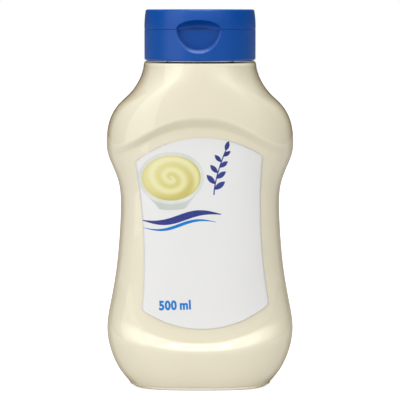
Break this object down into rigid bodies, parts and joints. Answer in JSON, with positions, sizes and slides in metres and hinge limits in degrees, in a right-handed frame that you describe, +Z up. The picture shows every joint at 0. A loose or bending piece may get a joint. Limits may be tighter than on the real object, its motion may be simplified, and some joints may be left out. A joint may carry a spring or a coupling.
{
  "type": "squeeze bottle of mayonnaise with flip-top cap",
  "caption": "Upright clear squeeze bottle filled with mayonnaise, oval with a narrow waist and pressed label panels, with a shut blue flip-top cap.",
  "frame": {"origin": "centre of the footprint, on the surface the bottle stands on", "axes": "+Z up through the cap; the front label and the cap's thumb recess face -Y; +X is to the right seen from the front"},
  "size_m": [0.0918, 0.0568, 0.1853],
  "materials": {
    "clear_shell": "clear glossy blown plastic",
    "contents": "smooth cream seen through the wall",
    "cap": "satin moulded plastic",
    "label": "white printed film"
  },
  "bodies": {
    "root": {"bottle": "clear_shell", "mayonnaise": "contents", "cap_base": "cap", "cap_lid": "cap", "cap_hinge": "cap", "label_front": "label", "label_back": "label"}
  },
  "joints": []
}
